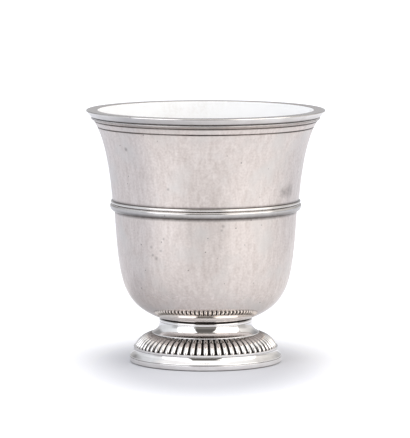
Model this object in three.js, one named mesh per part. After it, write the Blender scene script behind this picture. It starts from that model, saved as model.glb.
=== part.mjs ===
// Footed silver beaker, in millimetres with +Z up and its origin under the middle of the foot.
// A bowl raised from sheet has a wire soldered round its lip and a moulded band round its waist.
// Its hollow foot is built up from five rings: collar, spool, gadrooned ring, moulding and standing rim.
// One gadroon faces the front, which is -Y.

import * as THREE from "three";

// Whole beaker
const HEIGHT = 95.3; // standing face to lip
const SOLDER = 0.1; // film of solder between two pieces
const FACETS = 48; // round a plain turned piece

// Standing rim: a plain flat ring
const RIM_RADIUS = 28.75;
const RIM_HEIGHT = 2;
const RIM_WIDTH = 2.9; // outside to bore, which the moulding and the gadrooned ring share

// Foot moulding: a fillet over a cyma, which is hollow above and slopes out to an upright edge
const CYMA_SETBACK = 0.1; // from the outside of the rim
const CYMA_HEIGHT = 2.9;
const CYMA_EDGE = 0.25; // upright edge round its foot
const CYMA_SLOPE = [0.55, 0.65]; // handle of its curve at that edge, inwards and upwards
const CYMA_HOLLOW = 1.3; // handle of its curve under the fillet, straight down
const CYMA_STEPS = 6;
const FILLET_SETBACK = 1.5; // from the outside of the rim
const FILLET_HEIGHT = 0.75;
const FILLET_OVERHANG = 0.15; // over the hollow of the cyma

// Gadrooned ring: a domed ring of raised lobes, whose crests follow one curve
const GADROONS = 64;
const GADROON_RISE = 4.9;
const GADROON_DEPTH = 0.75; // crest to groove
const GADROON_LEDGE = 0.25; // flat of the fillet left showing below the crests
const GADROON_FLANK = [1.65, 1.8]; // handle of the crest's curve at its foot, inwards and upwards
const GADROON_BROW = [3.8, 1.45]; // handle at its top, outwards and downwards
const GADROON_SHEET = 0.9; // thickness under the spool
const LOBE_SECTION = [0, 0.28, 1, 0.28]; // crest, flank, groove and flank, as shares of the depth
const LOBE_ROWS = [
  { place: 0, share: 0.6 }, // place along the crest, and the share of the depth that the groove has there
  { place: 0.1, share: 1 },
  { place: 0.4, share: 1 },
  { place: 0.7, share: 0.9 },
  { place: 0.93, share: 0.6 },
  { place: 1, share: 0 },
];

// Spool: the concave neck of the foot, raised from sheet
const SPOOL_HEIGHT = 4.35;
const SPOOL_FOOT_RADIUS = 20.3;
const SPOOL_EDGE = 0.25; // upright edge round its foot
const SPOOL_SEAT = 1.8; // flat of the gadrooned ring under it
const SPOOL_LEDGE = 0.4; // flat of the gadrooned ring left showing round it
const SPOOL_BEND = 2.35; // from its top to where the neck turns out
const SPOOL_SPREAD = 0.25; // of the neck, from its top to that bend
const SPOOL_SHEET = 1;
const SPOOL_STEPS = 6;

// Collar: the ring that the bowl is soldered to, rounded outside
const NECK_RADIUS = 17.5; // top of the spool, and seat of the bowl
const COLLAR_HEIGHT = 1.2;
const COLLAR_WIDTH = 1.5; // inwards from the neck
const COLLAR_PROUD = 0.1; // outwards from the neck
const COLLAR_ROUND = 0.4; // radius of its edges
const COLLAR_ROUND_STEPS = 1; // to the eighth of a turn

// Bowl: leans are angles from the upright in degrees, and pulls are handles of a curve as shares of its chord
const WALL = 0.7;
const BASE_DISH = 2.2; // dip of its base inside the collar
const BASE_PULL = 0.35;
const BASE_STEPS = 3;
const SEAT_LEAN = 68.3;
const SEAT_PULL = 0.333;
const BELLY_LEAN = 3.25;
const BELLY_PULL = 0.652;
const BELLY_STEPS = 9;
const FLARE_LEAN = 4.8;
const FLARE_PULL = 0.29;
const LIP_LEAN = 39.5;
const LIP_PULL = 0.26;
const FLARE_STEPS = 7;
const LINE_DROPS = [4.1, 6.3]; // two lines turned round the bowl, from the lip down
const LINE_WIDTH = 0.5;
const LINE_DEPTH = 0.3;

// Waist band: a drawn wire of a torus and a small reed, over a slight widening of the bowl
const BAND_HEIGHT = 57.4; // standing face to its lower edge
const WAIST_RADIUS = 34.38; // outside of the bowl at the band's lower edge
const WAIST_STEP = 0.8; // widening of the bowl behind the band
const TORUS_HEIGHT = 2.75;
const TORUS_SWELL = 1.35;
const TORUS_STEPS = 6;
const REED_HEIGHT = 1.15;
const REED_SWELL = 0.75;
const REED_STEPS = 4;

// Lip wire
const LIP_RADIUS = 45;
const LIP_ROUND = 0.4; // radius of the lip's outer edge
const LIP_ROUND_STEPS = 2; // to the eighth of a turn
const WIRE_HEIGHT = 2.55;
const WIRE_TOP = 1; // width of the wire at the lip
const WIRE_FOOT = 0.1; // wire proud of the bowl at its lower edge
const WIRE_REBATE = 0.35; // depth that the bowl is filed away behind the wire
const WIRE_SPREAD = 1.85; // from the outside of the bowl just below the wire out to the lip
const MOUTH_WALL = 0.7; // bowl at the lip

// Levels and radii that follow from these
const quarterTurn = Math.PI / 2;
const bore = RIM_RADIUS - RIM_WIDTH;
const filletRadius = RIM_RADIUS - FILLET_SETBACK;
const mouldingFoot = RIM_HEIGHT + SOLDER;
const filletFoot = mouldingFoot + CYMA_HEIGHT;
const mouldingTop = filletFoot + FILLET_HEIGHT;
const gadroonFoot = mouldingTop + SOLDER;
const gadroonTop = gadroonFoot + GADROON_RISE;
const spoolFoot = gadroonTop + SOLDER;
const spoolTop = spoolFoot + SPOOL_HEIGHT;
const collarFoot = spoolTop + SOLDER;
const collarTop = collarFoot + COLLAR_HEIGHT;
const bandTop = BAND_HEIGHT + TORUS_HEIGHT + REED_HEIGHT;
const wireFoot = HEIGHT - WIRE_HEIGHT;
const mouthRadius = LIP_RADIUS - WIRE_TOP;
const wireSeatRadius = LIP_RADIUS - WIRE_SPREAD;

const point = (r, z) => new THREE.Vector2(r, z);

// A curve in the half section that leaves one point and reaches another at given leans.
function sweep(start, startLean, startPull, end, endLean, endPull, steps) {
  const chord = start.distanceTo(end);
  const handle = (lean, pull) => {
    const angle = THREE.MathUtils.degToRad(lean);
    return point(Math.sin(angle), Math.cos(angle)).multiplyScalar(pull * chord);
  };
  const startHandle = start.clone().add(handle(startLean, startPull));
  const endHandle = end.clone().sub(handle(endLean, endPull));
  return new THREE.CubicBezierCurve(start, startHandle, endHandle, end).getPoints(steps);
}

// A line of points moved sideways by a distance, to the left of its run.
function offset(points, distance) {
  const last = points.length - 1;
  const run = (from) => points[from + 1].clone().sub(points[from]).normalize();
  return points.map((at, i) => {
    const after = run(Math.min(i, last - 1));
    const mean = run(Math.max(i - 1, 0)).add(after).normalize();
    const reach = distance / mean.dot(after);
    return point(at.x - mean.y * reach, at.y + mean.x * reach);
  });
}

// The point where a rising line of points crosses a radius (x) or a height (y).
function crossing(points, axis, value) {
  const next = points.findIndex((p, i) => i > 0 && p[axis] >= value);
  const from = points[next - 1];
  return from.clone().lerp(points[next], (value - from[axis]) / (points[next][axis] - from[axis]));
}

// A half section turned about the axis: it starts and ends on the axis, or is closed here on itself.
function turned(section, facets = FACETS) {
  const closed = section[0].x === 0 ? section : [...section, section[0]];
  return new THREE.LatheGeometry(closed, facets).rotateX(quarterTurn);
}

// Outside of the bowl, from the middle of its base up to the lip wire
const seat = point(NECK_RADIUS, collarTop + SOLDER);
const baseMiddle = point(0, seat.y - BASE_DISH);
const waistFoot = point(WAIST_RADIUS, BAND_HEIGHT);
const waistTop = point(WAIST_RADIUS + WAIST_STEP, bandTop);
const wireSeat = point(wireSeatRadius, wireFoot);
const base = sweep(baseMiddle, 90, BASE_PULL, seat, SEAT_LEAN, BASE_PULL, BASE_STEPS);
const belly = sweep(seat, SEAT_LEAN, SEAT_PULL, waistFoot, BELLY_LEAN, BELLY_PULL, BELLY_STEPS).slice(1);
const flare = sweep(waistTop, FLARE_LEAN, FLARE_PULL, wireSeat, LIP_LEAN, LIP_PULL, FLARE_STEPS);
const outside = [...base, ...belly, ...flare];

// A wall with a narrow line cut into it at a height.
function incised(wall, height) {
  const below = crossing(wall, "y", height - LINE_WIDTH / 2);
  const above = crossing(wall, "y", height + LINE_WIDTH / 2);
  const root = crossing(wall, "y", height);
  root.x -= LINE_DEPTH;
  const lower = wall.filter((p) => p.y < below.y);
  const upper = wall.filter((p) => p.y > above.y);
  return [...lower, below, root, above, ...upper];
}

function bowl() {
  const lined = LINE_DROPS.reduce((wall, drop) => incised(wall, HEIGHT - drop), flare);
  const rebate = point(wireSeatRadius - WIRE_REBATE, wireFoot);
  const mouth = [point(mouthRadius, HEIGHT), point(mouthRadius - MOUTH_WALL, HEIGHT)];
  const lining = offset(outside, WALL);
  lining[0].x = 0;
  return turned([...base, ...belly, ...lined, rebate, ...mouth, ...lining.reverse()]);
}

function lipWire() {
  const foot = wireFoot + SOLDER;
  const section = new THREE.Path()
    .moveTo(wireSeatRadius - WIRE_REBATE + 2 * SOLDER, foot)
    .lineTo(wireSeatRadius + WIRE_FOOT, foot)
    .lineTo(LIP_RADIUS - LIP_ROUND, HEIGHT - 2 * LIP_ROUND)
    .absarc(LIP_RADIUS - LIP_ROUND, HEIGHT - LIP_ROUND, LIP_ROUND, 0, quarterTurn)
    .lineTo(mouthRadius + SOLDER, HEIGHT);
  return turned(section.getPoints(LIP_ROUND_STEPS));
}

function waistBand() {
  const bead = (foot, height, swell, steps) => {
    const middle = crossing(outside, "y", foot + height / 2);
    const arc = new THREE.EllipseCurve(middle.x + SOLDER, middle.y, swell, height / 2, -quarterTurn, quarterTurn);
    return arc.getPoints(steps).slice(0, -1);
  };
  const torus = bead(BAND_HEIGHT, TORUS_HEIGHT, TORUS_SWELL, TORUS_STEPS);
  const reed = bead(BAND_HEIGHT + TORUS_HEIGHT, REED_HEIGHT, REED_SWELL, REED_STEPS);
  const back = [waistTop, waistFoot].map((at) => point(at.x + SOLDER, at.y));
  return turned([...torus, ...reed, ...back]);
}

// The collar's top lies along the underside of the bowl.
function collar() {
  const inside = NECK_RADIUS - COLLAR_WIDTH;
  const face = NECK_RADIUS + COLLAR_PROUD - COLLAR_ROUND;
  const underBowl = (r) => crossing(outside, "x", r).y - SOLDER;
  const section = new THREE.Path()
    .moveTo(inside, collarFoot)
    .lineTo(face, collarFoot)
    .absarc(face, collarFoot + COLLAR_ROUND, COLLAR_ROUND, -quarterTurn, 0)
    .absarc(face, underBowl(face) - COLLAR_ROUND, COLLAR_ROUND, 0, quarterTurn)
    .lineTo(inside, underBowl(inside));
  return turned(section.getPoints(COLLAR_ROUND_STEPS));
}

function spool() {
  const turn = point(SPOOL_FOOT_RADIUS, spoolFoot + SPOOL_EDGE);
  const bend = point(NECK_RADIUS + SPOOL_SPREAD, spoolTop - SPOOL_BEND);
  const neck = point(NECK_RADIUS, spoolTop);
  const face = new THREE.QuadraticBezierCurve(turn, bend, neck).getPoints(SPOOL_STEPS);
  const back = offset(face, SPOOL_SHEET).filter((p) => p.y > turn.y);
  const foot = [point(SPOOL_FOOT_RADIUS - SPOOL_SEAT, spoolFoot), point(SPOOL_FOOT_RADIUS, spoolFoot)];
  return turned([...foot, ...face, ...back.reverse()]);
}

// The half section follows the crests, and then each column is pressed in by the depth of the groove there.
function gadroonedRing() {
  const foot = point(filletRadius - GADROON_LEDGE, gadroonFoot);
  const top = point(SPOOL_FOOT_RADIUS + SPOOL_LEDGE, gadroonTop);
  const [flankIn, flankUp] = GADROON_FLANK;
  const [browOut, browDown] = GADROON_BROW;
  const flank = point(foot.x - flankIn, foot.y + flankUp);
  const brow = point(top.x + browOut, top.y - browDown);
  const crest = new THREE.CubicBezierCurve(foot, flank, brow, top);
  const flange = SPOOL_FOOT_RADIUS - SPOOL_SEAT;
  const section = [
    ...LOBE_ROWS.map(({ place }) => crest.getPoint(place)),
    point(flange, gadroonTop),
    point(flange, gadroonTop - GADROON_SHEET),
    point(bore, gadroonFoot),
  ];
  const inwards = LOBE_ROWS.map(({ place, share }) => {
    const along = crest.getTangent(place);
    return point(-along.y, along.x).multiplyScalar(share * GADROON_DEPTH);
  });

  const columns = GADROONS * LOBE_SECTION.length;
  const geometry = turned(section, columns);
  const vertices = geometry.attributes.position;
  const rows = section.length + 1;
  for (let column = 0; column <= columns; column++) {
    const angle = (column / columns) * 4 * quarterTurn;
    const pressed = LOBE_SECTION[column % LOBE_SECTION.length];
    inwards.forEach((inward, row) => {
      const r = section[row].x + inward.x * pressed;
      const z = Math.max(section[row].y + inward.y * pressed, gadroonFoot);
      vertices.setXYZ(column * rows + row, r * Math.sin(angle), -r * Math.cos(angle), z);
    });
    const first = column * rows;
    vertices.setXYZ(first + rows - 1, vertices.getX(first), vertices.getY(first), vertices.getZ(first));
  }
  geometry.computeVertexNormals();
  return geometry;
}

function footMoulding() {
  const edge = point(RIM_RADIUS - CYMA_SETBACK, mouldingFoot + CYMA_EDGE);
  const hollow = point(filletRadius - FILLET_OVERHANG, filletFoot);
  const [slopeIn, slopeUp] = CYMA_SLOPE;
  const slope = point(edge.x - slopeIn, edge.y + slopeUp);
  const under = point(hollow.x, hollow.y - CYMA_HOLLOW);
  const cyma = new THREE.CubicBezierCurve(edge, slope, under, hollow);
  return turned([
    point(bore, mouldingFoot),
    point(edge.x, mouldingFoot),
    ...cyma.getPoints(CYMA_STEPS),
    point(filletRadius, filletFoot),
    point(filletRadius, mouldingTop),
    point(bore, mouldingTop),
  ]);
}

function standingRim() {
  return turned([
    point(bore, 0),
    point(RIM_RADIUS, 0),
    point(RIM_RADIUS, RIM_HEIGHT),
    point(bore, RIM_HEIGHT),
  ]);
}

const silver = (color, roughness) => new THREE.MeshStandardMaterial({ color, roughness, metalness: 1 });

const pieces = {
  bowl: [bowl(), silver(0xd9d1ce, 0.3)],
  lip_wire: [lipWire(), silver(0xd6d3d1, 0.22)],
  waist_band: [waistBand(), silver(0xe4e1de, 0.18)],
  foot_collar: [collar(), silver(0xd8d4d1, 0.16)],
  foot_spool: [spool(), silver(0xe6e3e1, 0.12)],
  gadrooned_ring: [gadroonedRing(), silver(0xdcd9d6, 0.2)],
  foot_moulding: [footMoulding(), silver(0xe2dfdc, 0.16)],
  standing_rim: [standingRim(), silver(0xcdc9c7, 0.26)],
};

const beaker = new THREE.Group();
beaker.name = "silver_beaker";
for (const [name, [geometry, material]] of Object.entries(pieces)) {
  const mesh = new THREE.Mesh(geometry, material);
  mesh.name = name;
  beaker.add(mesh);
}

export default beaker;
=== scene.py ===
import bisect
import math

import bpy
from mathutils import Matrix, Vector


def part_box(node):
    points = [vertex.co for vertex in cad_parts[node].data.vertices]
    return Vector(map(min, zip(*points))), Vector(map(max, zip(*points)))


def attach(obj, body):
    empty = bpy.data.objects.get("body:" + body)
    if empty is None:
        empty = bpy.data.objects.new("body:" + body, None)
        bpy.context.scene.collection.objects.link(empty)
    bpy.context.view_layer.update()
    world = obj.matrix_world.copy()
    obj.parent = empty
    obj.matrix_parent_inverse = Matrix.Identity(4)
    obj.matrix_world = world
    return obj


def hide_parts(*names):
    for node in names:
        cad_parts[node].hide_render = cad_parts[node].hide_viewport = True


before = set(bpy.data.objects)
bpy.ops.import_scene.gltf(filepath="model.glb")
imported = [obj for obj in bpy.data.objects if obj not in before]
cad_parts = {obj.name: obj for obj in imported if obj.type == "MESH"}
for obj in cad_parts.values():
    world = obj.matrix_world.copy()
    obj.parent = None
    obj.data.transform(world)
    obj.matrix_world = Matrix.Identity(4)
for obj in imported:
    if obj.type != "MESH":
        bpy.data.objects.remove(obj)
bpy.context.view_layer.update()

mm = 0.001
solder = 0.1 * mm  # film between two pieces of the frame, which runs up to both of them
print("frame loaded with", len(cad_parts), "pieces of silver")

# camera, taken from the photo: a long lens a little above the lip
photoCamera = {
    "distance": 1390 * mm,  # from the axis of the beaker, straight in front
    "height": 207 * mm,
    "aimHeight": 48 * mm,
    "lens": 304.65,  # millimetres on a 36 mm sensor along the frame's longer side
    "sensor": 36.0,
    "shift": (-0.0016, 0.0349),
    "clip": (0.05, 50),
}


def setCamera():
    place = Vector((0, -photoCamera["distance"], photoCamera["height"]))
    aim = Vector((0, 0, photoCamera["aimHeight"])) - place
    bpy.ops.object.camera_add(location=place, rotation=aim.to_track_quat("-Z", "Y").to_euler())
    camera = bpy.context.object
    camera.data.lens = photoCamera["lens"]
    camera.data.sensor_width = photoCamera["sensor"]
    camera.data.shift_x, camera.data.shift_y = photoCamera["shift"]
    camera.data.clip_start, camera.data.clip_end = photoCamera["clip"]
    bpy.context.scene.camera = camera


setCamera()
print("camera set")


# curves of a half section, as (radius, height) in metres
def bezier(handles, steps):
    order = len(handles) - 1
    line = []
    for step in range(steps + 1):
        t = step / steps
        shares = [math.comb(order, k) * t ** k * (1 - t) ** (order - k) for k in range(order + 1)]
        line.append(tuple(sum(s * h[axis] for s, h in zip(shares, handles)) for axis in (0, 1)))
    return line


def arc(middle, radii, start, end, steps):
    angles = [math.radians(start + (end - start) * step / steps) for step in range(steps + 1)]
    return [(middle[0] + radii[0] * math.cos(a), middle[1] + radii[1] * math.sin(a)) for a in angles]


# a curve that leaves one point and reaches another at given leans from the upright, in degrees
def sweep(start, startLean, startPull, end, endLean, endPull, steps):
    chord = math.dist(start, end)
    out = math.radians(startLean)
    home = math.radians(endLean)
    first = (start[0] + math.sin(out) * startPull * chord, start[1] + math.cos(out) * startPull * chord)
    last = (end[0] - math.sin(home) * endPull * chord, end[1] - math.cos(home) * endPull * chord)
    return bezier([start, first, last, end], steps)


# the same line moved to the left of its run, for the far side of a sheet
def beside(line, distance):
    moved = []
    for i, (r, z) in enumerate(line):
        before, after = line[max(i - 1, 0)], line[min(i + 1, len(line) - 1)]
        run = math.dist(before, after)
        moved.append((r - (after[1] - before[1]) / run * distance, z + (after[0] - before[0]) / run * distance))
    return moved


turning = {
    "steps": 192,
    "merge": 0.002 * mm,
    "smoothAngle": 38,
    "stretch": 0.2 * mm,  # longest straight stretch, so that tarnish can fade along it
}


# a half section with its long straight stretches cut up
def cutUp(section):
    line = []
    for start, end in zip(section, section[1:]):
        count = max(math.ceil(math.dist(start, end) / turning["stretch"]), 1)
        line += [tuple(a + (b - a) * k / count for a, b in zip(start, end)) for k in range(count)]
    return line + section[-1:]


# a half section drawn point by point and spun round the axis, as on a lathe, by a whole turn or a part of one
def turn(name, section, steps=turning["steps"], closed=True, angle=2 * math.pi):
    bpy.ops.object.select_all(action="DESELECT")
    bpy.ops.mesh.primitive_plane_add(size=mm, location=(section[0][0], 0, section[0][1]))
    piece = bpy.context.object
    piece.name = name
    bpy.ops.object.transform_apply(location=True, rotation=True, scale=True)
    bpy.ops.object.mode_set(mode="EDIT")
    bpy.ops.mesh.select_all(action="SELECT")
    bpy.ops.mesh.merge(type="CENTER")
    for (r0, z0), (r1, z1) in zip(section, section[1:] + section[:1] if closed else section[1:]):
        bpy.ops.mesh.extrude_vertices_move(TRANSFORM_OT_translate={"value": (r1 - r0, 0, z1 - z0)})
    bpy.ops.mesh.select_all(action="SELECT")
    bpy.ops.mesh.remove_doubles(threshold=turning["merge"])
    bpy.ops.mesh.select_all(action="SELECT")
    bpy.ops.mesh.spin(steps=steps, angle=angle, center=(0, 0, 0), axis=(0, 0, 1))
    bpy.ops.mesh.select_all(action="SELECT")
    bpy.ops.mesh.remove_doubles(threshold=turning["merge"])
    bpy.ops.mesh.normals_make_consistent(inside=False)
    bpy.ops.object.mode_set(mode="OBJECT")
    return piece


def halfSection(vertex):
    return math.hypot(vertex.co.x, vertex.co.y), vertex.co.z


# a value for each vertex, which a finish reads as an attribute
def markVertices(piece, name, values):
    piece.data.attributes.new(name, "FLOAT", "POINT").data.foreach_set("value", values)


# edges eased by polishing, smooth shading, tarnish and painted shade by the creases, and the piece's place in the frame
# a crease is a point of the half section, how far the tarnish and painted shade reach from it, and how much of them
# there is
def finishPiece(piece, node, material, creases, edgeRound=0):
    bpy.ops.object.select_all(action="DESELECT")
    piece.select_set(True)
    bpy.context.view_layer.objects.active = piece
    if edgeRound:
        easing = piece.modifiers.new("easedEdges", "BEVEL")
        easing.width = edgeRound
        easing.segments = 3
        easing.limit_method = "ANGLE"
        easing.angle_limit = math.radians(turning["smoothAngle"])
        bpy.ops.object.modifier_apply(modifier=easing.name)
    bpy.ops.object.shade_smooth_by_angle(angle=math.radians(turning["smoothAngle"]))
    # darkening near the creases: partly tarnish, partly painted shade where light is kept out
    tarnishAndShade = []
    for vertex in piece.data.vertices:
        place = halfSection(vertex)
        tarnishAndShade.append(max(most * math.exp(-(math.dist(place, at) / reach) ** 2) for at, reach, most in creases))
    markVertices(piece, "tarnishAndShade", tarnishAndShade)
    piece.data.materials.clear()
    piece.data.materials.append(material)
    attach(piece, "root")
    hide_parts(node)
    print(piece.name, "made,", len(piece.data.polygons), "faces")


def toLinear(hexColour):
    channels = [int(hexColour[i:i + 2], 16) / 255 for i in (1, 3, 5)]
    return [c / 12.92 if c <= 0.04045 else ((c + 0.055) / 1.055) ** 2.4 for c in channels] + [1]


# adds a node; inputs are values or sockets to link, by socket name or number
def addNode(tree, kind, inputs=None, **settings):
    node = tree.nodes.new("ShaderNode" + kind)
    for name, value in settings.items():
        setattr(node, name, value)
    for key, value in (inputs or {}).items():
        if isinstance(value, bpy.types.NodeSocket):
            tree.links.new(value, node.inputs[key])
        else:
            node.inputs[key].default_value = value
    return node


def newSilver(name):
    material = bpy.data.materials.new(name)
    material.use_nodes = True
    tree = material.node_tree
    shader = tree.nodes["Principled BSDF"]
    shader.inputs["Metallic"].default_value = 1
    return material, tree, shader, addNode(tree, "TexCoord").outputs["Object"]


age = {
    "tarnishAndShade": "#3B3532",  # brown-black sulphide tarnish, which also serves as painted shade in creases, seams and under mouldings
    "tarnishAndShadePatch": 1.6 * mm,
    "tarnishAndShadeLeast": 0.88,  # share of it that is left in the thin patches
    "pit": "#6E6662",
    "pitSpacing": 4.5 * mm,
    "pitRadius": 0.3 * mm,
    "pitFloor": 0.4,  # share of the radius that is dark all over
    "hairline": (14 * mm, 0.9 * mm),  # length and spacing; drawn coarser than a cloth's own lines, so that they show
    "film": 6 * mm,  # size of the patches that polish duller
    "scratch": (0.05, 0.03 * mm),  # strength and depth of the hairlines' relief
}


# tarnish and painted shade from the piece's own attribute, broken into patches, laid over a colour
def tarnishedAndShaded(tree, place, colour):
    crease = addNode(tree, "Attribute", attribute_name="tarnishAndShade")
    patches = addNode(tree, "TexNoise", {"Vector": place, "Scale": 1 / age["tarnishAndShadePatch"], "Detail": 4})
    uneven = addNode(tree, "MapRange", {"Value": patches.outputs["Fac"], "From Min": 0.3, "From Max": 0.65,
                                        "To Min": age["tarnishAndShadeLeast"]})
    share = addNode(tree, "Math", {0: crease.outputs["Fac"], 1: uneven.outputs[0]}, operation="MULTIPLY")
    mixed = addNode(tree, "Mix", {0: share.outputs[0], 6: colour, 7: toLinear(age["tarnishAndShade"])}, data_type="RGBA")
    return mixed.outputs[2]


# small pits where a cell's point happens to lie just under the surface
def pitted(tree, place, colour):
    cells = addNode(tree, "TexVoronoi", {"Vector": place, "Scale": 1 / age["pitSpacing"]})
    size = age["pitRadius"] / age["pitSpacing"]
    pits = addNode(tree, "MapRange", {"Value": cells.outputs["Distance"], "From Min": age["pitFloor"] * size,
                                      "From Max": size, "To Min": 1, "To Max": 0})
    mixed = addNode(tree, "Mix", {0: pits.outputs[0], 6: colour, 7: toLinear(age["pit"])}, data_type="RGBA")
    return mixed.outputs[2], pits.outputs[0]


# hairlines of a polishing cloth, which run round the piece
def hairlines(tree, place):
    length, spacing = age["hairline"]
    drawnOut = addNode(tree, "Mapping", {"Vector": place, "Scale": (1 / length, 1 / length, 1 / spacing)})
    lines = addNode(tree, "TexNoise", {"Vector": drawnOut.outputs[0], "Scale": 1, "Detail": 4, "Roughness": 0.7})
    return lines.outputs["Fac"]


planishedLook = {
    "bright": "#EAE1DB",  # rubbed silver
    "dull": "#CFC4BD",  # under a thin warm film
    "grey": "#DAD5D0",  # where the film is gone
    "inside": "#FFFFFF",  # matt white lining: a painted reflection of the light from above, which the polished inside shows as white
    "insideWorn": "#EEECE9",  # where washing has begun to rub through it
    "streak": (1.5 * mm, 6 * mm),  # width and height of a planishing streak
    "grain": 0.8 * mm,
    "cloud": 11 * mm,  # size of the patches without film
    "cloudEdge": (0.5, 0.7, 0.75),  # levels between which the film goes, and the most of it that does
    "mirror": 0.04,  # roughness of the underside, where no hand goes
    "mirrorTop": (19 * mm, 31 * mm),  # heights between which the wall turns from mirror to sheen
    "sheen": (0.3, 0.35),
    "drawnOut": 0.7,  # fine lines round the wall draw its reflections out upright
    "insideRoughness": 0.85,
    "lip": (95.0 * mm, 95.2 * mm),  # heights between which the wall becomes the lip
    "lipRoughness": 0.12,  # rubbed smooth
    "dent": (0.12, 0.05 * mm),  # strength and depth of the streaks' relief
    "mark": "#857D79",
    "markEdge": 1.2 * mm,  # size of the rags at the edge of a mark
    "marks": [  # nicks and stains from handling: place in millimetres, and reach
        ((28.8, -21.0, 66.0), 3.0), ((31.0, -17.6, 66.2), 4.2), ((-29.5, -24.7, 82.4), 1.2),
        ((-13.9, -33.1, 68.4), 0.8), ((-20.2, -26.9, 46.3), 0.8), ((-18.2, -27.8, 42.2), 1.2),
        ((-16.6, -29.2, 45.2), 0.8), ((-19.6, -27.0, 43.3), 0.8), ((-15.5, -30.1, 49.6), 0.8),
        ((6.4, -33.6, 54.8), 0.9), ((5.9, -33.6, 53.2), 0.7), ((-21.7, 25.9, 48.0), 3.0),
        ((28.6, 15.2, 36.0), 1.4), ((12.6, 34.6, 75.0), 1.2), ((-35.6, 6.3, 70.0), 0.9),
    ],
}


# silver raised by hammering, planished and hand polished: a soft sheen with upright streaks and a warm cast
def planishedSilver():
    look = planishedLook
    material, tree, shader, place = newSilver("planishedSilver")
    width, height = look["streak"]
    stretched = addNode(tree, "Mapping", {"Vector": place, "Scale": (1 / width, 1 / width, 1 / height)})
    streaks = addNode(tree, "TexNoise", {"Vector": stretched.outputs[0], "Scale": 1, "Detail": 2})
    grain = addNode(tree, "TexNoise", {"Vector": place, "Scale": 1 / look["grain"], "Detail": 2})
    clouds = addNode(tree, "TexNoise", {"Vector": place, "Scale": 1 / look["cloud"], "Detail": 3})
    mixed = addNode(tree, "Math", {0: streaks.outputs["Fac"], 1: grain.outputs["Fac"]}, operation="ADD")
    dullness = addNode(tree, "MapRange", {"Value": mixed.outputs[0], "From Min": 0.6, "From Max": 1.4})
    start, end, most = look["cloudEdge"]
    filmGone = addNode(tree, "MapRange", {"Value": clouds.outputs["Fac"], "From Min": start, "From Max": end,
                                          "To Max": most})
    warm = addNode(tree, "Mix", {0: dullness.outputs[0], 6: toLinear(look["bright"]),
                                 7: toLinear(look["dull"])}, data_type="RGBA")
    colour = addNode(tree, "Mix", {0: filmGone.outputs[0], 6: warm.outputs[2],
                                   7: toLinear(look["grey"])}, data_type="RGBA").outputs[2]
    ragged = addNode(tree, "TexNoise", {"Vector": place, "Scale": 1 / look["markEdge"], "Detail": 3})
    for spot, reach in look["marks"]:
        away = addNode(tree, "VectorMath", {0: place, 1: Vector(spot) * mm}, operation="DISTANCE")
        near = addNode(tree, "MapRange", {"Value": away.outputs["Value"], "From Min": 0, "From Max": reach * mm,
                                          "To Min": 1, "To Max": 0}, interpolation_type="SMOOTHSTEP")
        stain = addNode(tree, "Math", {0: near.outputs[0], 1: ragged.outputs["Fac"]}, operation="MULTIPLY")
        colour = addNode(tree, "Mix", {0: stain.outputs[0], 6: colour,
                                       7: toLinear(look["mark"])}, data_type="RGBA").outputs[2]
    colour, pits = pitted(tree, place, colour)
    colour = tarnishedAndShaded(tree, place, colour)
    inside = addNode(tree, "Attribute", attribute_name="inside").outputs["Fac"]
    rubbed = addNode(tree, "Math", {0: dullness.outputs[0], 1: filmGone.outputs[0]}, operation="MULTIPLY")
    lining = addNode(tree, "Mix", {0: rubbed.outputs[0], 6: toLinear(look["inside"]),
                                   7: toLinear(look["insideWorn"])}, data_type="RGBA")
    colour = addNode(tree, "Mix", {0: inside, 6: colour, 7: lining.outputs[2]}, data_type="RGBA").outputs[2]

    low, high = look["sheen"]
    sheen = addNode(tree, "MapRange", {"Value": mixed.outputs[0], "From Min": 0.7, "From Max": 1.3,
                                       "To Min": low, "To Max": high})
    level = addNode(tree, "SeparateXYZ", {0: place}).outputs["Z"]
    foot, top = look["mirrorTop"]
    worn = addNode(tree, "MapRange", {"Value": level, "From Min": foot, "From Max": top},
                   interpolation_type="SMOOTHSTEP")
    rough = addNode(tree, "Mix", {0: worn.outputs[0], 2: look["mirror"], 3: sheen.outputs[0]}, data_type="FLOAT")
    rough = addNode(tree, "Mix", {0: inside, 2: rough.outputs[0], 3: look["insideRoughness"]}, data_type="FLOAT")
    start, end = look["lip"]
    lip = addNode(tree, "MapRange", {"Value": level, "From Min": start, "From Max": end})
    rough = addNode(tree, "Mix", {0: lip.outputs[0], 2: rough.outputs[0], 3: look["lipRoughness"]}, data_type="FLOAT")
    # the lining is matt white, not metal: painted reflection of the light from above
    bare = addNode(tree, "Math", {0: 1, 1: inside}, operation="SUBTRACT")
    tree.links.new(bare.outputs[0], shader.inputs["Metallic"])
    shader.inputs["Anisotropic"].default_value = look["drawnOut"]
    shader.inputs["Anisotropic Rotation"].default_value = 0.25
    around = addNode(tree, "Tangent", direction_type="RADIAL", axis="Z")
    tree.links.new(around.outputs[0], shader.inputs["Tangent"])
    dents = addNode(tree, "Math", {0: streaks.outputs["Fac"], 1: pits}, operation="SUBTRACT")
    strength, deep = look["dent"]
    bump = addNode(tree, "Bump", {"Strength": strength, "Distance": deep, "Height": dents.outputs[0]})
    tree.links.new(colour, shader.inputs["Base Color"])
    tree.links.new(rough.outputs[0], shader.inputs["Roughness"])
    tree.links.new(bump.outputs[0], shader.inputs["Normal"])
    return material


drawnLook = {"bright": "#F3F0ED", "dull": "#DFDAD6", "roughness": (0.08, 0.16)}
burnishedLook = {"bright": "#FAF8F6", "dull": "#E9E5E2", "roughness": (0.03, 0.08)}
chasedLook = {
    "bright": "#F8F5F2",
    "dull": "#E4DFDB",
    "roughness": (0.06, 0.14),
    # black of the grooves: partly tarnish, partly painted shade down in them
    "groove": "#24211F",
    "blacked": (0.35, 0.9),  # shares of the groove's depth between which it turns black
    "matt": 0.5,  # roughness down there
}


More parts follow.
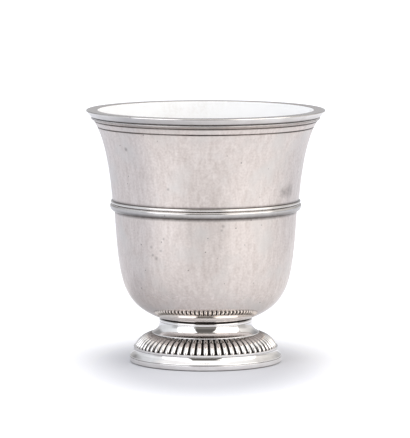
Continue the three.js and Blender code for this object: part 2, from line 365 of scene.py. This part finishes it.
# what drawn, burnished and chased silver share: a bright metal whose film and hairlines differ from place to place
def rubbedSilver(name, look):
    material, tree, shader, place = newSilver(name)
    lines = hairlines(tree, place)
    film = addNode(tree, "TexNoise", {"Vector": place, "Scale": 1 / age["film"], "Detail": 4})
    mixed = addNode(tree, "Math", {0: lines, 1: film.outputs["Fac"]}, operation="ADD")
    dullness = addNode(tree, "MapRange", {"Value": mixed.outputs[0], "From Min": 0.75, "From Max": 1.35})
    colour = addNode(tree, "Mix", {0: dullness.outputs[0], 6: toLinear(look["bright"]),
                                   7: toLinear(look["dull"])}, data_type="RGBA").outputs[2]
    colour, pits = pitted(tree, place, colour)
    colour = tarnishedAndShaded(tree, place, colour)
    low, high = look["roughness"]
    rough = addNode(tree, "MapRange", {"Value": mixed.outputs[0], "From Min": 0.7, "From Max": 1.3,
                                       "To Min": low, "To Max": high})
    wear = addNode(tree, "Math", {0: lines, 1: pits}, operation="SUBTRACT")
    strength, deep = age["scratch"]
    bump = addNode(tree, "Bump", {"Strength": strength, "Distance": deep, "Height": wear.outputs[0]})
    tree.links.new(colour, shader.inputs["Base Color"])
    tree.links.new(rough.outputs[0], shader.inputs["Roughness"])
    tree.links.new(bump.outputs[0], shader.inputs["Normal"])
    return material, tree, shader, colour, rough.outputs[0]


# drawn through a plate and rubbed bright: smooth, with lines along the wire and tarnish in its creases
def drawnSilver():
    return rubbedSilver("drawnSilver", drawnLook)[0]


# turned and burnished with a steel: the brightest finish, almost a mirror
def burnishedSilver():
    return rubbedSilver("burnishedSilver", burnishedLook)[0]


# chased with punches: bright rubbed crests, and black matt tarnish down in the grooves, which is partly painted shade
def chasedSilver():
    material, tree, shader, colour, rough = rubbedSilver("chasedSilver", chasedLook)
    groove = addNode(tree, "Attribute", attribute_name="groove")
    start, end = chasedLook["blacked"]
    depth = addNode(tree, "MapRange", {"Value": groove.outputs["Fac"], "From Min": start, "From Max": end})
    colour = addNode(tree, "Mix", {0: depth.outputs[0], 6: colour, 7: toLinear(chasedLook["groove"])},
                     data_type="RGBA")
    matt = addNode(tree, "Mix", {0: depth.outputs[0], 2: rough, 3: chasedLook["matt"]}, data_type="FLOAT")
    tree.links.new(colour.outputs[2], shader.inputs["Base Color"])
    tree.links.new(matt.outputs[0], shader.inputs["Roughness"])
    return material


bowlSilver = planishedSilver()
wireSilver = drawnSilver()
footSilver = burnishedSilver()
gadroonSilver = chasedSilver()
print("silver finishes made")


rimLook = {
    "width": 2.9 * mm,
    "edgeRound": 0.45 * mm,
    "seamTarnishAndShade": (0.12 * mm, 0.7),  # reach and most of the darkening at the seam, partly tarnish, partly painted shade
    # darkens the rim where it meets the floor: partly tarnish, partly painted contact shade
    "footTarnishAndShade": (0.4 * mm, 1),
    "film": (1.5 * mm, 0.12),  # darker lower part, towards the floor
}


def makeStandingRim():
    look = rimLook
    low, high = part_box("standing_rim")
    bore = high.x - look["width"]
    section = cutUp([(bore, low.z), (high.x, low.z), (high.x, high.z), (bore, high.z)])
    piece = turn("standingRim", section)
    creases = [((high.x, high.z), *look["seamTarnishAndShade"]), ((high.x, low.z), *look["footTarnishAndShade"]),
               ((high.x, low.z), *look["film"])]
    finishPiece(piece, "standing_rim", footSilver, creases, look["edgeRound"])


mouldingLook = {
    "edge": 0.25 * mm,  # upright edge at the foot of the cyma
    "slope": (0.55 * mm, 0.65 * mm),  # handle of the cyma there
    "hollow": 1.3 * mm,  # handle of the cyma under the fillet
    "filletSetback": 1.4 * mm,  # behind the widest of the cyma
    "filletHeight": 0.75 * mm,
    "overhang": 0.15 * mm,
    "edgeRound": 0.08 * mm,
    "seamTarnishAndShade": (0.08 * mm, 0.6),
    # darkens the hollow under the fillet: partly tarnish, partly painted shade
    "hollowTarnishAndShade": (0.2 * mm, 0.5),
}


def makeFootMoulding():
    look = mouldingLook
    low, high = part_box("foot_moulding")
    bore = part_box("standing_rim")[1].x - rimLook["width"]
    fillet = high.x - look["filletSetback"]
    filletFoot = high.z - look["filletHeight"]
    edge = (high.x, low.z + look["edge"])
    hollow = (fillet - look["overhang"], filletFoot)
    slope = (edge[0] - look["slope"][0], edge[1] + look["slope"][1])
    under = (hollow[0], hollow[1] - look["hollow"])
    cyma = bezier([edge, slope, under, hollow], steps=28)
    foot = low.z - solder
    section = cutUp([(bore, foot), (high.x, foot), *cyma, (fillet, filletFoot), (fillet, high.z), (bore, high.z)])
    piece = turn("footMoulding", section)
    creases = [((high.x, low.z), *look["seamTarnishAndShade"]), (hollow, *look["hollowTarnishAndShade"]),
               ((fillet, high.z), *look["seamTarnishAndShade"])]
    finishPiece(piece, "foot_moulding", footSilver, creases, look["edgeRound"])


gadroonLook = {
    "count": 64,
    "depth": 0.75 * mm,
    "columns": 18,  # round one gadroon
    "rows": 44,
    "flank": (1.3 * mm, 2.05 * mm),  # handle of the crest at its foot
    "brow": (4.1 * mm, 1.2 * mm),  # and at its top
    "spoolLedge": 0.4 * mm,
    "seat": 1.8 * mm,
    "sheet": 0.9 * mm,
    "lobe": (0.34, 0.4),  # half width of a lobe at its foot and at its top, as a share of the pitch
    "footEnd": 0.13,  # share of the length taken by the rounded lower end
    "fade": (0.8, 0.9),  # where the grooves start to run out, and their depth at the top
    "seamTarnishAndShade": (0.15 * mm, 0.6),
    "browFilmAndShade": (2.6 * mm, 0.5),  # darkens the upper ends under the spool: partly tarnish where the spool keeps a cloth away, partly painted shade
}


# share of the depth that the chasing tool goes down, across a gadroon and along it
def grooveShare(across, along):
    look = gadroonLook
    footLobe, topLobe = look["lobe"]
    out = abs(across) / (footLobe + (topLobe - footLobe) * along)
    past = max(1 - along / look["footEnd"], 0)
    reach = min(math.hypot(out, past), 1)
    start, left = look["fade"]
    run = max((along - start) / (1 - start), 0)
    return (1 - math.sqrt(1 - reach ** 2)) * (1 - (1 - left) * run ** 1.5)


def makeGadroonRing():
    look = gadroonLook
    low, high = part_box("gadrooned_ring")
    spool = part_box("foot_spool")[1]
    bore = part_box("standing_rim")[1].x - rimLook["width"]
    foot = (high.x, low.z - solder)
    top = (spool.x + look["spoolLedge"], high.z)
    flank = (foot[0] - look["flank"][0], foot[1] + look["flank"][1])
    brow = (top[0] + look["brow"][0], top[1] - look["brow"][1])
    crest = bezier([foot, flank, brow, top], look["rows"])
    flange = spool.x - look["seat"]
    section = [*crest, (flange, high.z), (flange, high.z - look["sheet"]), (bore, foot[1])]
    # one groove between the crests of two gadroons, then copied round the ring
    pitch = 2 * math.pi / look["count"]
    piece = turn("gadroonRing", section, steps=look["columns"], angle=pitch)
    heights = [z for r, z in crest]  # by which a point on the crests is known
    pressed = piece.vertex_groups.new(name="pressed")
    shares = []
    for vertex in piece.data.vertices:
        row = min(bisect.bisect(heights, vertex.co.z - turning["merge"]), look["rows"])
        onCrest = math.dist(crest[row], halfSection(vertex)) < 2 * turning["merge"]
        across = math.atan2(vertex.co.y, vertex.co.x) / pitch
        share = grooveShare(across - round(across), row / look["rows"]) if onCrest else 0
        shares.append(share)
        pressed.add([vertex.index], share, "REPLACE")
    markVertices(piece, "groove", shares)
    chasing = piece.modifiers.new("chasing", "DISPLACE")
    chasing.vertex_group = pressed.name
    chasing.mid_level = 0
    chasing.strength = -look["depth"]
    bpy.ops.object.modifier_apply(modifier=chasing.name)
    for vertex in piece.data.vertices:
        vertex.co.z = max(vertex.co.z, foot[1])
    bpy.ops.object.mode_set(mode="EDIT")
    bpy.ops.mesh.select_all(action="SELECT")
    bpy.ops.mesh.spin(steps=look["count"] - 1, dupli=True, angle=2 * math.pi - pitch, center=(0, 0, 0), axis=(0, 0, 1))
    bpy.ops.mesh.select_all(action="SELECT")
    bpy.ops.mesh.remove_doubles(threshold=turning["merge"])
    bpy.ops.mesh.normals_make_consistent(inside=False)
    bpy.ops.object.mode_set(mode="OBJECT")
    creases = [(foot, *look["seamTarnishAndShade"]), (top, *look["seamTarnishAndShade"]), (top, *look["browFilmAndShade"])]
    finishPiece(piece, "gadrooned_ring", gadroonSilver, creases)


spoolLook = {
    "edge": 0.25 * mm,
    "seat": 1.8 * mm,
    "flat": (1.6 * mm, 0.8 * mm),  # handle of the curve at its foot, which turns out almost flat
    "upright": (0.25 * mm, 2.65 * mm),  # and at its neck
    "sheet": 1.0 * mm,
    "edgeRound": 0.08 * mm,
    "seamTarnishAndShade": (0.1 * mm, 0.5),
}


def makeFootSpool():
    look = spoolLook
    low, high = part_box("foot_spool")
    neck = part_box("foot_collar")[1].x - collarLook["proud"]
    turnOut = (high.x, low.z + look["edge"])
    flat = (turnOut[0] - look["flat"][0], turnOut[1] + look["flat"][1])
    upright = (neck + look["upright"][0], high.z - look["upright"][1])
    face = bezier([turnOut, flat, upright, (neck, high.z)], steps=32)
    back = [p for p in beside(face, look["sheet"]) if p[1] > turnOut[1]]
    foot = low.z - solder
    section = [(high.x - look["seat"], foot), (high.x, foot), *face, *reversed(back)]
    piece = turn("footSpool", section)
    finishPiece(piece, "foot_spool", footSilver, [((neck, high.z), *look["seamTarnishAndShade"])],
                look["edgeRound"])


collarLook = {
    "width": 1.6 * mm,
    "proud": 0.1 * mm,  # of the neck
    "round": 0.7 * mm,
    "footRound": 0.1 * mm,
    "drop": 0.45 * mm,  # its top follows the bowl down towards the axis
    # wide and full, it darkens the groove under the bowl: partly tarnish at the seam, partly painted shade
    "seamTarnishAndShade": (0.55 * mm, 1),
}


def makeFootCollar():
    look = collarLook
    low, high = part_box("foot_collar")
    inner = high.x - look["width"]
    face = high.x - look["round"]
    foot = low.z - solder
    topRound, footRound = look["round"], look["footRound"]
    section = [
        (inner, foot),
        *arc((high.x - footRound, foot + footRound), (footRound, footRound), -90, 0, 4),
        *arc((face, high.z - topRound), (topRound, topRound), 0, 90, 8),
        (face, high.z + solder),
        (inner, high.z + solder - look["drop"]),
    ]
    piece = turn("footCollar", cutUp(section))
    finishPiece(piece, "foot_collar", footSilver, [((face, high.z), *look["seamTarnishAndShade"])])


bowlLook = {
    "wall": 0.7 * mm,
    # the wall's curves: leans are degrees from the upright, pulls are shares of the chord
    "baseDish": 2.2 * mm,
    "basePull": 0.35,
    "seatLean": 68.3,
    "seatPull": 0.333,
    "bellyLean": 3.25,
    "bellyPull": 0.652,
    "flareLean": 4.8,
    "flarePull": 0.29,
    "lipLean": 39.5,
    "lipPull": 0.26,
    "waist": 34.38 * mm,
    "waistStep": 0.8 * mm,
    "wireSpread": 1.85 * mm,
    "wireRebate": 0.35 * mm,
    "wireHeight": 2.55 * mm,
    "wireTop": 1.0 * mm,
    "lipFlat": 3.3 * mm,  # flat of the lip inside the wire
    "lipEase": 0.25 * mm,  # its inner corner
    "lipDepth": 12 * mm,  # down to where the wall has thickened towards it
    "lipSlope": 17,  # lean of the mouth under the flat
    "lipSwell": 0.3,  # pull of the curve that thickens it
    "lines": [  # drop from the lip, width, depth and reach of the tarnish and painted shade in it; the first is the seam under the wire
        (2.55 * mm, 0.7 * mm, 0.34 * mm, 0.5 * mm),
        (4.1 * mm, 0.55 * mm, 0.28 * mm, 0.26 * mm),
        (6.3 * mm, 0.55 * mm, 0.28 * mm, 0.26 * mm),
    ],
    "reed": (3.3 * mm, 1.1 * mm, 0.45 * mm),  # between the seam and the next line: drop, height and swell
    # dims the reed: partly tarnish, partly painted shade
    "reedTarnishAndShade": (0.6 * mm, 0.4),
    "linedZone": 7.5 * mm,  # finely drawn part below the lip
    # darkening by the foot's seat and against the band: partly tarnish, partly painted shade under and beside them
    "seatTarnishAndShade": (1.0 * mm, 1),
    "bandTarnishAndShade": (0.45 * mm, 1),
    "hammer": (4.5 * mm, 0.03 * mm),  # size and depth of the hammer marks
    "hammered": (18 * mm, 24 * mm, 82 * mm, 88 * mm),  # heights between which they come and go
    "bandClear": 2 * mm,  # and they stay this far off the band
}


def makeBowl():
    look = bowlLook
    low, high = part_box("bowl")
    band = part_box("waist_band")
    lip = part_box("lip_wire")[1].x
    seat = (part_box("foot_collar")[1].x - collarLook["proud"], low.z + look["baseDish"])
    waistFoot = (look["waist"], band[0].z)
    waistTop = (look["waist"] + look["waistStep"], band[1].z)
    wireSeat = (lip - look["wireSpread"], high.z - look["wireHeight"])
    base = sweep((0, low.z), 90, look["basePull"], seat, look["seatLean"], look["basePull"], steps=12)
    belly = sweep(seat, look["seatLean"], look["seatPull"],
                  waistFoot, look["bellyLean"], look["bellyPull"], steps=72)
    fineFlare = sweep(waistTop, look["flareLean"], look["flarePull"],
                      wireSeat, look["lipLean"], look["lipPull"], steps=480)
    # only the lined part needs every point of the flare
    flare = [p for i, p in enumerate(fineFlare) if i % 8 == 0 or p[1] > high.z - look["linedZone"]]
    lined = []
    for r, z in flare:
        depth = 0
        for drop, width, most, reach in look["lines"]:
            off = abs(z - (high.z - drop)) / (width / 2)
            depth = max(depth, most * (1 - off ** 2))
        drop, tall, swell = look["reed"]
        off = abs(z - (high.z - drop)) / (tall / 2)
        lined.append((r - depth + swell * max(1 - off ** 2, 0), z))
    # the wall thickens towards the lip, whose flat top ends in an eased corner at the mouth
    mouth = lip - look["wireTop"]
    lining = beside(base + belly[2::2] + fineFlare[::16], look["wall"])
    lining[0] = (0, lining[0][1])
    lining = [p for p in lining if p[1] < high.z - look["lipDepth"]]
    corner = (mouth - look["lipFlat"], high.z)
    ease = look["lipEase"]
    slope = math.radians(look["lipSlope"])
    under = (corner[0] - ease * math.sin(slope), corner[1] - ease * math.cos(slope))
    easing = bezier([(corner[0] + ease, corner[1]), corner, under], steps=6)
    lean = math.degrees(math.atan2(lining[-1][0] - lining[-2][0], lining[-1][1] - lining[-2][1]))
    swell = look["lipSwell"]
    thickening = sweep(lining[-1], lean, swell, under, look["lipSlope"], swell, steps=24)
    rim = [(wireSeat[0] - look["wireRebate"], wireSeat[1]), (mouth, high.z), *easing]
    lining += thickening[1:-1]
    piece = turn("raisedBowl", base + belly[1:] + lined + rim + lining[::-1], closed=False)

    # hammer marks that planishing left in the wall, fading out before the seams
    size, deep = look["hammer"]
    marks = bpy.data.textures.new("hammerMarks", "CLOUDS")
    marks.noise_scale = size
    wall = piece.vertex_groups.new(name="hammered")
    start, full, end, gone = look["hammered"]
    for vertex in piece.data.vertices:
        z = vertex.co.z
        clear = min(abs(z - b.z) for b in band) / look["bandClear"]
        weight = min((z - start) / (full - start), (gone - z) / (gone - end), clear, 1)
        wall.add([vertex.index], max(weight, 0), "REPLACE")
    hammering = piece.modifiers.new("hammering", "DISPLACE")
    hammering.texture = marks
    hammering.texture_coords = "LOCAL"
    hammering.vertex_group = wall.name
    hammering.strength = deep
    bpy.ops.object.modifier_apply(modifier=hammering.name)

    # the lining is what faces the axis or looks up, below the flat of the lip
    inside = []
    for vertex in piece.data.vertices:
        outwards = Vector((vertex.co.x, vertex.co.y, 0)).normalized()
        below = vertex.co.z < high.z - look["lipEase"] / 2
        inside.append(float(below and vertex.normal.dot(outwards) < vertex.normal.z - 0.05))
    markVertices(piece, "inside", inside)
    creases = [(seat, *look["seatTarnishAndShade"]), (waistFoot, *look["bandTarnishAndShade"]), (waistTop, *look["bandTarnishAndShade"])]
    marked = [(drop, (reach, 1)) for drop, width, most, reach in look["lines"]]
    for drop, tarnishAndShade in [*marked, (look["reed"][0], look["reedTarnishAndShade"])]:
        nearest = min(lined, key=lambda p: abs(p[1] - (high.z - drop)))
        creases.append((nearest, *tarnishAndShade))
    finishPiece(piece, "bowl", bowlSilver, creases)


bandLook = {
    "reedHeight": 1.15 * mm,
    "reedSwell": 0.75 * mm,
    "torusSwell": 1.35 * mm,
    "torusRise": 0.95 * mm,  # of the torus above its widest; below, it runs out down to the wall
    "underTarnishAndShade": (2.0 * mm, 1),  # darkens the torus towards its foot: painted shade under the torus, with some tarnish
    "seamTarnishAndShade": (0.4 * mm, 1),
    "quirkTarnishAndShade": (0.15 * mm, 1),  # dark line between the torus and the reed: tarnish and painted shade in the quirk
}


def makeWaistBand():
    look = bandLook
    low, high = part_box("waist_band")
    waist, step = bowlLook["waist"], bowlLook["waistStep"]

    def wall(z):
        return waist + step * (z - low.z) / (high.z - low.z)

    quirk = high.z - look["reedHeight"]
    reedMiddle = quirk + look["reedHeight"] / 2
    rise = look["torusRise"]
    middle = (wall(quirk - rise), quirk - rise)
    torus = arc(middle, (look["torusSwell"], middle[1] - low.z), -90, 0, 20)
    torus += arc(middle, (look["torusSwell"], rise), 0, 90, 16)[1:]
    reed = arc((wall(reedMiddle), reedMiddle), (look["reedSwell"], look["reedHeight"] / 2), -90, 90, 20)
    section = [(wall(low.z), low.z), *torus[:-1], *reed, (wall(high.z), high.z)]
    piece = turn("waistBand", section)
    creases = [(torus[0], *look["underTarnishAndShade"]), (reed[0], *look["quirkTarnishAndShade"]), (reed[-1], *look["seamTarnishAndShade"])]
    finishPiece(piece, "waist_band", wireSilver, creases)


wireLook = {
    "round": 0.4 * mm,
    "footRound": 0.22 * mm,
    # wide and full at the wire's foot, this darkens the groove under the wire: partly tarnish, partly painted shade
    "seamTarnishAndShade": (0.7 * mm, 1),
    # dulls the wire's lower face: partly a film, partly painted shade that stands for the floor's shadow in it
    "film": (2.5 * mm, 0.25),
}


def makeLipWire():
    look = wireLook
    low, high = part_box("lip_wire")
    seat = high.x - bowlLook["wireSpread"]
    mouth = high.x - bowlLook["wireTop"]
    toe = seat - bowlLook["wireRebate"] + solder
    edge = arc((high.x - look["round"], high.z - look["round"]), (look["round"],) * 2, 0, 90, 10)
    heel = bezier([(toe, low.z), (seat, low.z), (seat + look["footRound"], low.z + look["footRound"])], 8)
    section = [*heel, (high.x - look["round"], high.z - 2 * look["round"]), *edge, (mouth, high.z)]
    piece = turn("lipWire", cutUp(section))
    creases = [((toe, low.z), *look["seamTarnishAndShade"]), ((seat, low.z), *look["film"])]
    finishPiece(piece, "lip_wire", wireSilver, creases)


makeStandingRim()
makeFootMoulding()
makeGadroonRing()
makeFootSpool()
makeFootCollar()
makeBowl()
makeWaistBand()
makeLipWire()
print("all pieces made")


studio = {
    "floorSize": 12.0,
    "floorDrop": 0.05 * mm,  # below the foot, so that no two faces lie in one plane
    "floor": "#DFE0E5",
    "floorShade": "#C4C8D3",  # painted shade: grey floor at both sides, which the edges of the silver reflect
    "floorShadeEdge": 0.1,
    "paper": ((0.04, 0.06), (0.14, 0.06)),  # reach of the pale paper to the left and right, and how it widens backwards
    "paperFront": ((1.2, 0.0), (4.0, 0.12)),  # how fast it widens forwards at the left and right, and from where
    # the floor turns white away from the shadow: the shadow's middle, how much deeper than wide it is,
    # the distances between which the floor turns white, and how much white is added
    # the edge of the eye's white, set forward and stretched towards the camera, draws the shadow's outline: partly real
    # shadow, partly painted shadow
    "whiteToEye": {"middle": (0, -0.015), "deep": 1.75, "near": 0.024, "far": 0.064, "white": 0.55},
    # the silver's white is a painted reflection; set off to the left, it also leaves painted shade in the lower left of
    # the bowl
    "whiteToSilver": {"middle": (-0.04, 0), "deep": 1.0, "near": 0.03, "far": 0.12, "white": 0.28},
    # the tent by degrees round from the front, to the right: low down, its walls, and its roof
    "skirting": [
        (-180, "#ACACAE"), (-160, "#ACACAE"), (-135, "#C6C9CE"), (-95, "#C6C9CE"), (-84, "#A6A8AC"),
        (-29, "#A6A8AC"), (-24, "#807E7C"), (26, "#807E7C"), (32, "#B0AEAC"), (112, "#B0AEAC"),
        (124, "#C8C7C6"), (150, "#C8C7C6"), (165, "#ACACAE"), (180, "#ACACAE"),
    ],
    "walls": [
        (-180, "#868688"), (-150, "#868688"), (-135, "#C0C3C8"), (-84, "#DCDFE4"), (-62, "#FAFCFF"),
        (-29, "#FAFCFF"), (-24, "#5B5957"), (26, "#5B5957"), (32, "#FFFDFB"), (66, "#FFFDFB"),
        (84, "#ECEAE8"), (140, "#C4C2C0"), (165, "#868688"), (180, "#868688"),
    ],
    "roof": [
        (-180, "#B4B4B4"), (-150, "#B4B4B4"), (-135, "#E4E5E7"), (-60, "#EEEEF0"), (-52, "#FFFFFF"),
        (66, "#FFFFFF"), (74, "#EEEEEE"), (112, "#E4E4E4"), (124, "#B4B4B4"), (180, "#B4B4B4"),
    ],
    "tentStrength": 1.25,
    "foot": (6, 18),  # elevations between which the skirting gives way to the walls
    "eaves": (42, 54),  # and the walls to the roof
}


def makeFloor():
    bpy.ops.object.select_all(action="DESELECT")
    bpy.ops.mesh.primitive_plane_add(size=studio["floorSize"], location=(0, 0, -studio["floorDrop"]))
    floor = bpy.context.object
    floor.name = "paperFloor"
    material = bpy.data.materials.new("palePaper")
    material.use_nodes = True
    tree = material.node_tree
    shader = tree.nodes["Principled BSDF"]
    shader.inputs["Roughness"].default_value = 0.9
    shader.inputs["Specular IOR Level"].default_value = 0
    shader.inputs["Emission Color"].default_value = (1, 1, 1, 1)
    place = addNode(tree, "TexCoord").outputs["Object"]
    axis = addNode(tree, "SeparateXYZ", {0: place}).outputs

    # pale paper under the beaker and in front of it, painted grey shade at both sides
    behind = addNode(tree, "Math", {0: axis["Y"], 1: 0}, operation="MAXIMUM")
    past = []
    for side, (reach, widening), (rate, start) in zip((-1, 1), studio["paper"], studio["paperFront"]):
        paper = addNode(tree, "Math", {0: behind.outputs[0], 1: widening, 2: reach}, operation="MULTIPLY_ADD")
        ahead = addNode(tree, "Math", {0: start, 1: axis["Y"]}, operation="SUBTRACT")
        ahead = addNode(tree, "Math", {0: ahead.outputs[0], 1: 0}, operation="MAXIMUM")
        edge = addNode(tree, "Math", {0: ahead.outputs[0], 1: rate, 2: paper.outputs[0]}, operation="MULTIPLY_ADD")
        off = addNode(tree, "Math", {0: axis["X"], 1: side}, operation="MULTIPLY")
        past.append(addNode(tree, "Math", {0: off.outputs[0], 1: edge.outputs[0]}, operation="SUBTRACT").outputs[0])
    off = addNode(tree, "Math", {0: past[0], 1: past[1]}, operation="MAXIMUM")
    floorShade = addNode(tree, "MapRange", {"Value": off.outputs[0], "From Min": 0, "From Max": studio["floorShadeEdge"]},
                    interpolation_type="SMOOTHSTEP")
    colour = addNode(tree, "Mix", {0: floorShade.outputs[0], 6: toLinear(studio["floor"]),
                                   7: toLinear(studio["floorShade"])}, data_type="RGBA")
    tree.links.new(colour.outputs[2], shader.inputs["Base Color"])

    # away from the shadow the floor glows white to the eye and to the silver, and lights nothing: in the silver this
    # glow is a painted reflection
    rays = addNode(tree, "LightPath").outputs
    mirrored = addNode(tree, "Math", {0: rays["Is Glossy Ray"], 1: rays["Is Transmission Ray"]}, operation="MAXIMUM")
    whites = []
    for name, ray in (("whiteToEye", rays["Is Camera Ray"]), ("whiteToSilver", mirrored.outputs[0])):
        shade = studio[name]
        x, y = shade["middle"]
        flat = 1 / shade["deep"]
        drawnIn = addNode(tree, "Mapping", {"Vector": place, "Location": (-x, -y * flat, 0), "Scale": (1, flat, 1)})
        away = addNode(tree, "VectorMath", {0: drawnIn.outputs[0]}, operation="LENGTH").outputs["Value"]
        out = addNode(tree, "MapRange", {"Value": away, "From Min": shade["near"], "From Max": shade["far"],
                                         "To Max": shade["white"]}, interpolation_type="SMOOTHSTEP")
        whites.append(addNode(tree, "Math", {0: out.outputs[0], 1: ray}, operation="MULTIPLY").outputs[0])
    lift = addNode(tree, "Math", {0: whites[0], 1: whites[1]}, operation="ADD")
    tree.links.new(lift.outputs[0], shader.inputs["Emission Strength"])
    floor.data.materials.append(material)


# a white tent with a gap in front, where the camera stands
def makeTent():
    world = bpy.data.worlds.new("whiteTent")
    bpy.context.scene.world = world
    world.use_nodes = True
    tree = world.node_tree
    way = addNode(tree, "TexCoord").outputs["Generated"]
    axis = addNode(tree, "SeparateXYZ", {0: way}).outputs
    ahead = addNode(tree, "Math", {0: axis["Y"], 1: -1}, operation="MULTIPLY")
    around = addNode(tree, "Math", {0: axis["X"], 1: ahead.outputs[0]}, operation="ARCTAN2")
    share = addNode(tree, "MapRange", {"Value": around.outputs[0], "From Min": -math.pi, "From Max": math.pi})
    colours = []
    for name in ("skirting", "walls", "roof"):
        ramp = addNode(tree, "ValToRGB", {0: share.outputs[0]})
        stops = ramp.color_ramp.elements
        for angle, colour in studio[name][1:-1]:
            stops.new((angle + 180) / 360).color = toLinear(colour)
        stops[0].color = toLinear(studio[name][0][1])
        stops[len(stops) - 1].color = toLinear(studio[name][-1][1])
        colours.append(ramp.outputs["Color"])
    heights = []
    for name in ("foot", "eaves"):
        low, high = (math.sin(math.radians(angle)) for angle in studio[name])
        heights.append(addNode(tree, "MapRange", {"Value": axis["Z"], "From Min": low, "From Max": high},
                               interpolation_type="SMOOTHSTEP").outputs[0])
    lower = addNode(tree, "Mix", {0: heights[0], 6: colours[0], 7: colours[1]}, data_type="RGBA")
    tent = addNode(tree, "Mix", {0: heights[1], 6: lower.outputs[2], 7: colours[2]}, data_type="RGBA")
    background = tree.nodes["Background"]
    tree.links.new(tent.outputs[2], background.inputs["Color"])
    background.inputs["Strength"].default_value = studio["tentStrength"]


softboxes = [
    {"name": "rightPanel", "place": (1.0, -0.65, 0.6), "size": (1.6, 1.0), "power": 5.5, "colour": "#FFFDFB"},
    {"name": "leftPanel", "place": (-0.95, -0.75, 0.6), "size": (1.1, 1.0), "power": 3.6, "colour": "#F6F8FF"},
]


def makeSoftboxes():
    for box in softboxes:
        place = Vector(box["place"])
        aim = Vector((0, 0, photoCamera["aimHeight"])) - place
        bpy.ops.object.light_add(type="AREA", location=place, rotation=aim.to_track_quat("-Z", "Y").to_euler())
        lamp = bpy.context.object
        lamp.name = box["name"]
        lamp.data.shape = "RECTANGLE"
        lamp.data.size, lamp.data.size_y = box["size"]
        lamp.data.energy = box["power"]
        lamp.data.color = toLinear(box["colour"])[:3]


makeFloor()
makeTent()
makeSoftboxes()
bpy.context.scene.view_settings.view_transform = "Standard"
print("studio set")
